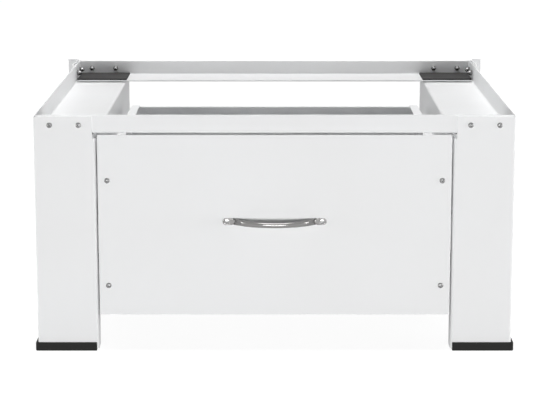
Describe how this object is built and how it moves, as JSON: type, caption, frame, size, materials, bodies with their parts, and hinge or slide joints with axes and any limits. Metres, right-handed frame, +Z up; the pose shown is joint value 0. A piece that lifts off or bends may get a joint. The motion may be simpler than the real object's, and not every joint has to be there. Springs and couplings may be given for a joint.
{
  "type": "washer pedestal drawer",
  "caption": "White sheet-steel pedestal on legs with rubber shoes, an open tray for a washer's feet and a pull-out drawer with a bow handle on ball slides.",
  "frame": {"origin": "on the floor, under the middle of the whole object's box, handle and wall ears included", "axes": "+Z up, the drawer opens towards -Y, +X to the right when facing the drawer"},
  "size_m": [0.638, 0.571, 0.3063],
  "materials": {
    "white_powder_coat": "smooth semi-gloss powder coat",
    "pad_rubber": "matt moulded rubber",
    "shoe_rubber": "matt moulded rubber",
    "zinc_slide": "bright zinc plating",
    "cage_steel": "greased dull zinc",
    "ball_steel": "polished steel",
    "zinc_screw": "satin zinc plating",
    "rivet_steel": "satin zinc plating",
    "handle_metal": "satin nickel"
  },
  "bodies": {
    "pedestal": {"front_left_leg": "white_powder_coat", "front_right_leg": "white_powder_coat", "rear_left_leg": "white_powder_coat", "rear_right_leg": "white_powder_coat", "left_side_rail": "white_powder_coat", "right_side_rail": "white_powder_coat", "front_beam": "white_powder_coat", "rear_beam": "white_powder_coat", "front_left_pad": "pad_rubber", "front_right_pad": "pad_rubber", "rear_left_pad": "pad_rubber", "rear_right_pad": "pad_rubber", "front_left_shoe": "shoe_rubber", "front_right_shoe": "shoe_rubber", "rear_left_shoe": "shoe_rubber", "rear_right_shoe": "shoe_rubber", "left_wall_bracket": "white_powder_coat", "right_wall_bracket": "white_powder_coat", "left_slide_carrier": "white_powder_coat", "right_slide_carrier": "white_powder_coat", "carrier_rivets": "rivet_steel", "front_leg_screws": "zinc_screw", "rear_leg_screws": "zinc_screw", "left_side_screws": "zinc_screw", "right_side_screws": "zinc_screw", "front_cap_nuts": "zinc_screw", "rear_cap_nuts": "zinc_screw", "left_cap_nuts": "zinc_screw", "right_cap_nuts": "zinc_screw", "left_slide_outer": "zinc_slide", "right_slide_outer": "zinc_slide", "left_slide_screws": "zinc_screw", "right_slide_screws": "zinc_screw"},
    "drawer": {"drawer_front": "white_powder_coat", "drawer_inner_front": "white_powder_coat", "drawer_left_side": "white_powder_coat", "drawer_right_side": "white_powder_coat", "drawer_rear": "white_powder_coat", "drawer_bottom": "white_powder_coat", "drawer_rivets": "rivet_steel", "front_screws": "zinc_screw", "front_nuts": "zinc_screw", "handle": "handle_metal", "handle_screws": "zinc_screw", "handle_nuts": "zinc_screw", "left_slide_inner": "zinc_slide", "right_slide_inner": "zinc_slide", "left_runner_screws": "zinc_screw", "right_runner_screws": "zinc_screw"},
    "left_middle": {"left_slide_middle": "zinc_slide"},
    "right_middle": {"right_slide_middle": "zinc_slide"},
    "left_outer_cage_body": {"left_outer_cage": "cage_steel", "left_outer_balls": "ball_steel"},
    "right_outer_cage_body": {"right_outer_cage": "cage_steel", "right_outer_balls": "ball_steel"},
    "left_inner_cage_body": {"left_inner_cage": "cage_steel", "left_inner_balls": "ball_steel"},
    "right_inner_cage_body": {"right_inner_cage": "cage_steel", "right_inner_balls": "ball_steel"}
  },
  "joints": [
    {"name": "drawer_slide", "type": "slide", "parent": "pedestal", "child": "drawer", "axis": [0, -1, 0], "range_m": [0, 0.38]},
    {"name": "left_middle_slide", "type": "slide", "parent": "pedestal", "child": "left_middle", "axis": [0, -1, 0], "range_m": [0, 0.19]},
    {"name": "left_outer_cage_slide", "type": "slide", "parent": "pedestal", "child": "left_outer_cage_body", "axis": [0, -1, 0], "range_m": [0, 0.095]},
    {"name": "left_inner_cage_slide", "type": "slide", "parent": "pedestal", "child": "left_inner_cage_body", "axis": [0, -1, 0], "range_m": [0, 0.285]},
    {"name": "right_middle_slide", "type": "slide", "parent": "pedestal", "child": "right_middle", "axis": [0, -1, 0], "range_m": [0, 0.19]},
    {"name": "right_outer_cage_slide", "type": "slide", "parent": "pedestal", "child": "right_outer_cage_body", "axis": [0, -1, 0], "range_m": [0, 0.095]},
    {"name": "right_inner_cage_slide", "type": "slide", "parent": "pedestal", "child": "right_inner_cage_body", "axis": [0, -1, 0], "range_m": [0, 0.285]}
  ],
  "couplings": [
    {"joint": "left_middle_slide", "follows": "drawer_slide", "ratio": 0.5},
    {"joint": "left_outer_cage_slide", "follows": "drawer_slide", "ratio": 0.25},
    {"joint": "left_inner_cage_slide", "follows": "drawer_slide", "ratio": 0.75},
    {"joint": "right_middle_slide", "follows": "drawer_slide", "ratio": 0.5},
    {"joint": "right_outer_cage_slide", "follows": "drawer_slide", "ratio": 0.25},
    {"joint": "right_inner_cage_slide", "follows": "drawer_slide", "ratio": 0.75}
  ]
}
